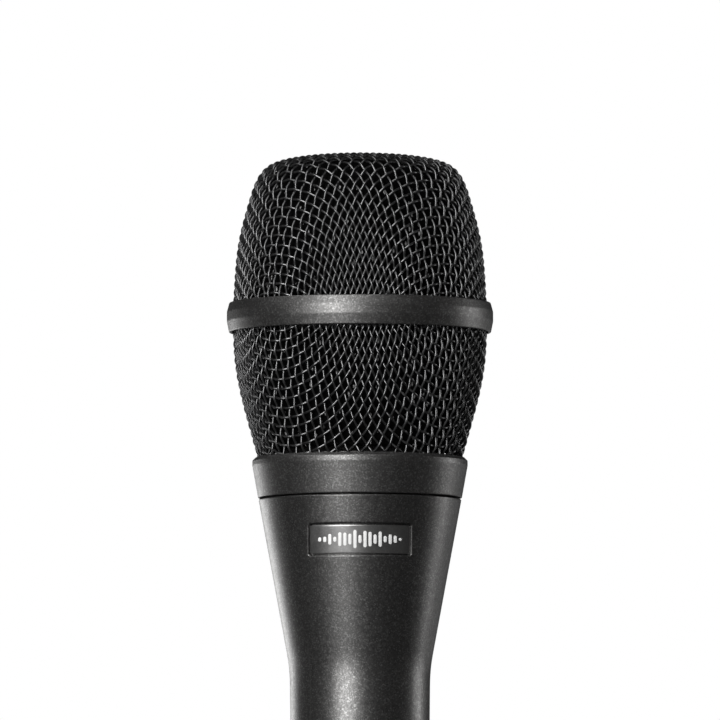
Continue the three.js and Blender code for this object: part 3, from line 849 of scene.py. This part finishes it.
def recess_lines(half, corner):
    """Distances from the middle of a recess at which the handle has mesh lines, close at its wall."""
    inner = half - corner - 0.1 * MM
    wall = half + np.array([-0.09, -0.05, -0.02, 0, 0.04, 0.08, 0.12, 0.18, 0.3, 0.5]) * MM
    lines = np.r_[np.arange(0, inner, 0.7 * MM), np.arange(inner, half - 0.11 * MM, 0.05 * MM), wall]
    return np.r_[-lines[:0:-1], lines]


front_lines = recess_lines(badge_half[0], BADGE_CORNER)
back_lines = np.arange(-2.4, 2.41, 0.15) * MM
GAP_LINES = 36


def handle_angles(heights):
    """The angle of each mesh line at each height: straight in front view across the badge."""
    radius = skin_radius(heights)[:, None]
    front = np.arcsin(front_lines / radius)
    back = np.arcsin(back_lines / radius)
    share = np.linspace(0, 1, GAP_LINES + 2)[None, 1:-1]
    right = front[:, -1:] + (math.pi - back[:, -1:] - front[:, -1:]) * share
    left = 2 * math.pi - right[:, ::-1]
    return FRONT + np.hstack([front, right, math.pi + back, left])


def recess_depth(x, z):
    """The badge recess: a light bevel, a steep wall and a flat floor inside a rounded rectangle."""
    beyond = np.abs(np.stack([x, z - badge_z])) - (badge_half - BADGE_CORNER)[:, None, None]
    edge = np.hypot(*np.maximum(beyond, 0)) + np.minimum(beyond.max(axis=0), 0) - BADGE_CORNER
    steps = np.array([-0.05, -0.02, 0, 0.04, 0.08, 0.12, 0.18, 0.3]) * MM
    return np.interp(edge, steps, np.array([1, 0.94, 0.24, 0.15, 0.09, 0.045, 0.012, 0]) * RECESS_DEPTH)


def handle_shape(r, z, angle):
    x, front = r * np.cos(angle), np.sin(angle) < 0
    outside = r > skin_radius(z) - SKIN
    below_seam = z < skin[-1][1] + 0.3 * MM
    out = r - np.where(outside & front & below_seam, recess_depth(x, z), 0)
    from_screw = np.hypot(x, z - screw_z)
    hole = np.interp(from_screw, [screw_hole, screw_hole + SCREW_WELL["slope"]],
                     [SCREW_WELL["depth"], 0])
    out = out - np.where(outside & ~front & below_seam, hole, 0)
    across = np.interp(np.abs(x), [LATCH_POCKET["half_width"], 2.1 * MM], [1, 0])
    along = fade_between(z, LATCH_POCKET["low"] - 0.1 * MM, LATCH_POCKET["high"] + 0.1 * MM, 0.2 * MM)
    in_bore = (r < skin_radius(z) - 2 * MM) & ~front & (z < 12 * MM)
    out = out + np.where(in_bore, LATCH_POCKET["depth"] * across * along, 0)
    spigot = (z > thread_low) & (z < thread_high) & (r > root_radius - 0.05 * MM)
    crest = (crest_radius - root_radius) * thread_wave(z, angle)
    threaded = root_radius + crest * fade_between(z, thread_low, thread_high)
    return np.where(spigot, threaded, out)


above_seam = handle_outline[handle_outline[:, 1] > skin[-1][1] + 0.6 * MM]
crest_radius = above_seam[:, 0].max()
root_radius = crest_radius - SPIGOT_GROOVE
thread_points = above_seam[above_seam[:, 0] > root_radius + 0.2 * MM]
thread_low = thread_points[:, 1].min() - THREAD_PITCH / 2
thread_high = thread_points[:, 1].max() + THREAD_PITCH / 2

rings = np.r_[
    badge_z + recess_lines(badge_half[1], BADGE_CORNER),
    screw_z + back_lines,
    np.arange(4, 124, 3.0) * MM,
    np.arange(thread_low - 0.1 * MM, thread_high + 0.1 * MM, 0.08 * MM),
    np.arange(3.7, 9, 0.15) * MM,
]


def handle_wanted(a, b):
    """Extra rings go on the outside, on the thread and round the latch pocket."""
    r, z = (a + b) / 2
    outer = r > skin_radius(z) - SKIN and z < skin[-1][1]
    return outer or (z > thread_low and r > root_radius - 0.1 * MM) or z < 24 * MM


outline = rounded(handle_outline, 0.1 * MM, 5 * MM, steps=4)
outline = crossed(outline, rings, handle_wanted)
shell = turned(outline, shift=handle_shape, angles=handle_angles(outline[:, 1]))
fine("handle", shell, sharp=40)


def rounded_rectangle(half_x, half_z, corner, per_corner=8):
    """Points round a rectangle about the origin, counterclockwise."""
    turns = np.linspace(0, math.pi / 2, per_corner)
    points = []
    for quarter, side in enumerate(((1, 1), (-1, 1), (-1, -1), (1, -1))):
        turn = turns + quarter * math.pi / 2
        middle = np.array([half_x - corner, half_z - corner]) * side
        points.append(middle + corner * np.column_stack([np.cos(turn), np.sin(turn)]))
    return np.vstack(points)


def wrapped(points, depth):
    """Points [x, height] laid on the handle's front, at a depth under its surface."""
    r = skin_radius(points[:, 1]) - depth
    return np.column_stack([points[:, 0], -np.sqrt(r ** 2 - points[:, 0] ** 2), points[:, 1]])


plate_depth = skin_radius(plate_high.z) + plate_low.y
PLATE_THICKNESS = 0.4 * MM
plate_half = badge_half - PLATE_MARGIN
rim = divided(rounded_rectangle(*plate_half, BADGE_CORNER - 0.5 * PLATE_MARGIN), 0.5 * MM)

inner_shares = np.linspace(0.985, 0.01, 14)
EDGE = [(1, PLATE_THICKNESS), (1, 0.06 * MM), (0.995, 0.015 * MM)]  # its size and depth, back to front
plate = [(share, PLATE_THICKNESS) for share in inner_shares[::-1]] + EDGE
plate += [(share, 0) for share in inner_shares]
fine("badge_plate", lofted([
    wrapped(rim * share + np.array([0, badge_z]), plate_depth + depth) for share, depth in plate
]))

# A generic mark: a row of rounded bars, like the level of a sound over time.
BARS = {"count": 17, "spacing": 0.93 * MM, "width": 0.58 * MM, "tallest": 3.4 * MM}
bars = []
middle = (BARS["count"] - 1) / 2
half_width = BARS["width"] / 2
for i in range(BARS["count"]):
    swell = math.cos((i - middle) / (middle + 2) * math.pi / 2)
    level = (0.30 + 0.70 * abs(math.sin(1.9 * i + 0.7))) * swell
    half_height = max(0.16, level) * BARS["tallest"] / 2
    bar = rounded_rectangle(half_width, half_height, half_width * 0.98, 6)
    place = np.array([(i - middle) * BARS["spacing"], badge_z])
    bars.append(lofted([
        wrapped(bar * share + place, plate_depth + depth * MM)
        for share, depth in ((1, 0.05), (1, -0.03), (0.9, -0.045))
    ]))
mark = piece("badge_mark", merged(bars), LOOKS["badge_print"], "handle")


# ---------------- cartridge

def returned(node, bevel, soften=0.0, side=0.0, around=MEDIUM, longest=None, shift=None):
    """A turned CAD node's shape with round sides and eased edges."""
    outline = rounded(cad_outline(node, side), bevel * MM, soften * MM)
    return turned(divided(outline, longest * MM) if longest else outline, around, shift)


def rod(radius, low, high, bevel, around):
    """A plain cylinder about Z with eased rims."""
    outline = np.array([[0, high], [radius, high], [radius, low], [0, low]])
    return turned(rounded(outline, bevel), around)


def drill(centre, radius, low, high):
    """A round cutter along Z."""
    return lofted([at_height(circle(radius, 40) + centre, z) for z in (low, high)])


housing_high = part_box("cartridge_housing")[1]
PORTS = {"count": 8, "half_width": 1.2 * MM, "low": 150.6 * MM, "high": 156.6 * MM}
housing = fine("cartridge_housing", returned("cartridge_housing", 0.25))
port_low = (housing_high.x - 3 * MM, -PORTS["half_width"], PORTS["low"])
port_high = (housing_high.x + 1 * MM, PORTS["half_width"], PORTS["high"])
port_turns = [(i + 0.5) * 2 * math.pi / PORTS["count"] for i in range(PORTS["count"])]
drilled(housing, [box(port_low, port_high, turn) for turn in port_turns])

cap_low, cap_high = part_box("resonator_cap")
CAP_HOLES = {"radius": 1.6 * MM, "circle": 6.4 * MM, "count": 6}
cap = fine("resonator_cap", returned("resonator_cap", 0.25, 2.0, side=FRONT))
centres = [(0, 0), *circle(CAP_HOLES["circle"], CAP_HOLES["count"])]
drilled(cap, [drill(centre, CAP_HOLES["radius"], cap_low.z, cap_high.z + MM) for centre in centres])

for node in ("clamp_ring", "diaphragm_seat", "magnet_pot", "magnet", "pole_piece", "rear_chamber"):
    fine(node, returned(node, 0.2))


def ring_weave(points):
    """Cloth threads on an upright band of cloth."""
    around = np.arctan2(points[:, 1], points[:, 0]) * np.hypot(points[:, 0], points[:, 1])
    return 0.03 * MM * (1 + np.sin(around * 11 / MM) * np.sin(points[:, 2] * 11 / MM))


def flat_weave(points):
    return 0.03 * MM * (1 + np.sin(points[:, 0] * 9 / MM) * np.sin(points[:, 1] * 9 / MM))


def felt_fibres(points):
    return 0.12 * MM * pores(points * (1, 1, 2), 0.5 * MM)


fine("rear_port_cloth", pressed(returned("rear_port_cloth", 0.1, around=480, longest=0.2), ring_weave))
fine("front_screen", pressed(returned("front_screen", 0.1, around=300, longest=0.16), flat_weave))
fine("damping_felt", pressed(returned("damping_felt", 0.4, around=240, longest=0.3), felt_fibres))

coil_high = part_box("voice_coil")[1]
coil_middle = (coil_high.x + cad_outline("voice_coil")[:, 0].min()) / 2
TURN_HEIGHT = 0.2 * MM


def coil_turns(r, z, angle):
    """Wire turns as ridges round the coil, inside the CAD ring's walls."""
    ridge = 0.06 * MM * (1 - np.abs(np.sin(math.pi * z / TURN_HEIGHT)))
    return np.where(r > coil_middle, r - ridge, r + ridge)


fine("voice_coil", returned("voice_coil", 0.05, around=160, longest=0.034, shift=coil_turns))

DOME_RADIUS = coil_high.x


def film_ribs(points):
    """Slanting ribs pressed into the diaphragm's surround."""
    r, angle = np.hypot(points[:, 0], points[:, 1]), np.arctan2(points[:, 1], points[:, 0])
    surround = fade_between(r, DOME_RADIUS + 0.1 * MM, DOME_RADIUS + 1.9 * MM)
    return 0.07 * MM * surround * np.sin(40 * angle + (r - DOME_RADIUS) * 2.2 / MM)


film_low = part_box("diaphragm")[0]
film = pressed(returned("diaphragm", 0.06, 1.2, around=400, longest=0.2), film_ribs)
piece("diaphragm_film", film, look_of("diaphragm"), ("cartridge", "moving_coil"), "diaphragm",
      blend=(film_low.z, film_low.z + 1.2 * MM))

boot_low, boot_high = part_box("shock_mount")
boot = make_mesh("boot", returned("shock_mount", 0.5, 1.0, around=160))
piece("shock_mount_boot", boot, look_of("shock_mount"), ("handle", "cartridge"), "shock_mount",
      blend=(boot_low.z + 1.9 * MM, boot_high.z - 1.3 * MM))


# ---------------- wiring and transformer

SOLDER_ROOT, SOLDER_TIP = 0.1 * MM, 0.6 * MM  # how far solder runs onto the metal and the lead


def soldered(name, centre, metal, lead, radius, body):
    """A mound of solder from the height where a metal part ends to where its lead ends."""
    way = math.copysign(1, lead - metal)
    root, tip = metal - way * SOLDER_ROOT, lead + way * SOLDER_TIP
    shoulder = 0.6 * root + 0.4 * tip
    outline = np.array([[0, tip], [0.6 * radius, tip], [radius, shoulder], [radius, root], [0, root]])
    geometry = turned(rounded(outline, 0.25 * MM), 32, centre=centre)
    made = piece(name, geometry, LOOKS["plated_steel"], body)


def middle_of(low, high):
    return (low.x + high.x) / 2, (low.y + high.y) / 2


def eased(node):
    """A CAD node's shape with its shared points merged and its surface subdivided smooth."""
    work = placed("work", frame["nodes"][node].data.copy())
    tidy(work.data, 1e-6)
    modifier = work.modifiers.new("smooth", "SUBSURF")
    modifier.levels = modifier.render_levels = 2
    mesh = modified(work)
    bpy.data.objects.remove(work)
    mesh.shade_smooth()
    return mesh


for i in (1, 2):
    node = f"cartridge_lead_{i}"
    low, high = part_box(node)
    piece(f"{node}_fine", eased(node), look_of(node), ("handle", "cartridge"), node,
          blend=(low.z + 0.4 * (high.z - low.z), high.z - 3 * MM))
    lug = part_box(f"cartridge_terminal_{i}")
    name = f"cartridge_solder_{i}"
    soldered(name, middle_of(*lug), lug[0].z, high.z, 0.65 * MM, "cartridge")
for i in (1, 2, 3):
    fine(f"output_lead_{i}", eased(f"output_lead_{i}"))

core_low, core_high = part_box("transformer_core")
winding_low, winding_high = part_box("transformer_winding")
PLATES = 15
LEG = {"half": 2.0 * MM, "far": 5.4 * MM, "yoke": 2.0 * MM}


def core_plate(y_low, y_high):
    """One lamination: a plate with a window on each side of the middle leg."""
    xs = [core_low.x, -LEG["far"], -LEG["half"], LEG["half"], LEG["far"], core_high.x]
    zs = [core_low.z, core_low.z + LEG["yoke"], core_high.z - LEG["yoke"], core_high.z]
    solid = {(i, k) for i in range(5) for k in range(3) if not (k == 1 and i in (1, 3))}
    vertices = [(x, y, z) for y in (y_low, y_high) for z in zs for x in xs]

    def index(i, k, side):
        return (side * 4 + k) * 6 + i

    faces = []
    for i, k in sorted(solid):
        corners = [(i, k), (i + 1, k), (i + 1, k + 1), (i, k + 1)]
        faces.append([index(*c, 0) for c in corners])
        faces.append([index(*c, 1) for c in corners[::-1]])
        around = [(i, k - 1), (i + 1, k), (i, k + 1), (i - 1, k)]
        for n, neighbour in enumerate(around):
            if neighbour not in solid:
                a, b = corners[n], corners[(n + 1) % 4]
                faces.append([index(*b, 0), index(*a, 0), index(*a, 1), index(*b, 1)])
    return np.array(vertices), faces


step = (core_high.y - core_low.y) / PLATES
plates = [core_plate(core_low.y + i * step, core_low.y + (i + 0.86) * step) for i in range(PLATES)]
fine("transformer_core", merged(plates))

WINDING_WIRE = 0.14 * MM
turns = int((winding_high.z - winding_low.z) / (2 * WINDING_WIRE)) - 1
loop = divided(rounded_rectangle(winding_high.x - WINDING_WIRE, winding_high.y - WINDING_WIRE,
                                1.3 * MM, 4), 0.8 * MM)
coil_path = np.vstack([loop] * turns)
rise = np.linspace(winding_low.z + WINDING_WIRE, winding_high.z - WINDING_WIRE, len(coil_path))
coil_path = np.column_stack([coil_path, rise])
facing = at_height(coil_path[:, :2], 0)
under = [at_height(loop * 0.97, z) for z in (winding_low.z, winding_high.z)]
fine("transformer_winding", merged([tube(coil_path, facing, WINDING_WIRE, 6), lofted(under)]))
fine("transformer_sleeve", pressed(returned("transformer_sleeve", 0.3, around=200, longest=0.42),
                                   foam_pores))

for node in ("transformer_bobbin", "cartridge_terminal_1", "cartridge_terminal_2"):
    kept = frame["nodes"][node]
    kept.data.materials.clear()
    kept.data.materials.append(look_of(node))
    weld = kept.modifiers.new("weld", "WELD")
    weld.merge_threshold = 1e-6
    edge = kept.modifiers.new("edge", "BEVEL")
    edge.width, edge.segments, edge.limit_method = 0.08 * MM, 2, "ANGLE"


# ---------------- cable connector

insert_low, insert_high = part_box("xlr_insert")
insert = fine("xlr_insert", rod(insert_high.x, insert_low.z, insert_high.z, 0.3 * MM, 96))
sockets = []
for i in (1, 2, 3):
    node = f"xlr_pin_{i}"
    low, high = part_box(node)
    centre = middle_of(low, high)
    lead_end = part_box(f"output_lead_{i}")[0].z
    soldered(f"output_solder_{i}", centre, high.z, lead_end, 0.9 * MM, "handle")
    radius = (high.x - low.x) / 2
    sockets.append(drill(centre, radius + 0.16 * MM, insert_low.z - MM, insert_low.z + 1.2 * MM))
    outline = rounded(cad_outline(node, centre=centre), 0.35 * MM, 0.6 * MM, steps=5)
    fine(node, turned(outline, 40, centre=centre))
drilled(insert, sockets)

screw_radius = (screw_high.z - screw_low.z) / 2
upright, faces = rod(screw_radius, screw_low.y, screw_high.y, 0.15 * MM, 48)
lying = np.column_stack([upright[:, 0], upright[:, 2], upright[:, 1] + screw_z])
screw = fine("xlr_lock_screw", (lying, faces))
slot_low = (-2 * MM, screw_high.y - 0.6 * MM, screw_z - 0.22 * MM)
slot_high = (2 * MM, screw_high.y + MM, screw_z + 0.22 * MM)
drilled(screw, [box(slot_low, slot_high)])


# ---------------- stage, lights and camera

def stage_floor():
    mesh = bpy.data.meshes.new("floor")
    vertices, faces = lofted([at_height(circle(r, 64), 0) for r in (0.05, 1, 4)])
    mesh.from_pydata(vertices.tolist(), [], [face[::-1] for face in faces[:-1]])
    mesh.update()
    look = Surface("floor", (0.02, 0.02, 0.02), 0.6)
    camera_ray = look.add("LightPath").outputs["Is Camera Ray"]
    look.tint((0.12, 0.12, 0.12), camera_ray)
    look.blotches((0.02, 0.02, 0.02), 3, 0.04).done()
    look.shader.inputs["Emission Color"].default_value = (1, 1, 1, 1)
    across = look.add("SeparateXYZ")
    look.link(look.place, across.inputs[0])
    # Behind the object the floor also shines on it, which keeps its back from going black.
    bounce = look.ranged(across.outputs["Y"], 0.12, 0.4, 0, 0.4)
    glow = look.ranged(camera_ray, 0, 1, 0, 0.95)
    look.link(bounce, glow.node.inputs["To Min"])
    look.link(glow, look.shader.inputs["Emission Strength"])
    clear = look.add("BsdfTransparent")
    mix = look.add("MixShader")
    behind = look.product(look.add("NewGeometry").outputs["Backfacing"], camera_ray)
    look.link(behind, mix.inputs[0])
    look.link(look.shader.outputs[0], mix.inputs[1])
    look.link(clear.outputs[0], mix.inputs[2])
    look.link(mix.outputs[0], look.tree.nodes["Material Output"].inputs["Surface"])
    mesh.materials.append(look.material)
    placed("floor", mesh)


def white_surroundings(seen, cast):
    """A plain white world, as bright as seen to the camera and as cast to everything else."""
    world = bpy.data.worlds.new("studio")
    bpy.context.scene.world = world
    world.use_nodes = True
    tree = world.node_tree
    light = tree.nodes["Background"]
    light.inputs["Color"].default_value = (1, 1, 1, 1)
    path = tree.nodes.new("ShaderNodeLightPath")
    strength = tree.nodes.new("ShaderNodeMapRange")
    strength.inputs["To Min"].default_value = cast
    strength.inputs["To Max"].default_value = seen
    tree.links.new(path.outputs["Is Camera Ray"], strength.inputs["Value"])
    tree.links.new(strength.outputs[0], light.inputs["Strength"])


def aimed(name, data, place, height):
    """A lamp or camera at a place, turned towards the axis at a height."""
    made = placed(name, data)
    made.location = place
    made.rotation_mode = "QUATERNION"
    made.rotation_quaternion = (place - Vector((0, 0, height))).to_track_quat("Z", "Y")
    return made


def softbox(name, bearing, height, distance, width, tall, power):
    """A soft lamp at a bearing in degrees from the front, positive to the right."""
    lamp = bpy.data.lights.new(name, "AREA")
    lamp.shape, lamp.size, lamp.size_y, lamp.energy = "RECTANGLE", width, tall, power
    angle = math.radians(bearing)
    place = Vector((distance * math.sin(angle), -distance * math.cos(angle), height))
    aimed(name, lamp, place, 0.14).visible_camera = False


stage_floor()
white_surroundings(seen=1.0, cast=0.02)
softbox("front_left", -23, 0.39, 1.1, 0.5, 0.9, 14.5)
softbox("left_rim", -146, 0.075, 0.5, 0.25, 0.14, 0.36)
softbox("overhead", -35, 1.1, 0.6, 1.4, 0.4, 5)
softbox("right_rim", 112, 0.14, 1.0, 0.25, 0.6, 2.1)

CAMERA = {"distance": 2.6, "elevation": -3.75, "aim_z": 0.1526, "frame": 0.1338}
camera_data = bpy.data.cameras.new("camera")
camera_data.lens = camera_data.sensor_width * CAMERA["distance"] / CAMERA["frame"]
camera_data.clip_end = 50
tilt = math.radians(CAMERA["elevation"])
back = Vector((0, -math.cos(tilt), math.sin(tilt))) * CAMERA["distance"]
place = back + Vector((0, 0, CAMERA["aim_z"]))
bpy.context.scene.camera = aimed("camera", camera_data, place, CAMERA["aim_z"])
bpy.context.scene.view_settings.view_transform = "Standard"
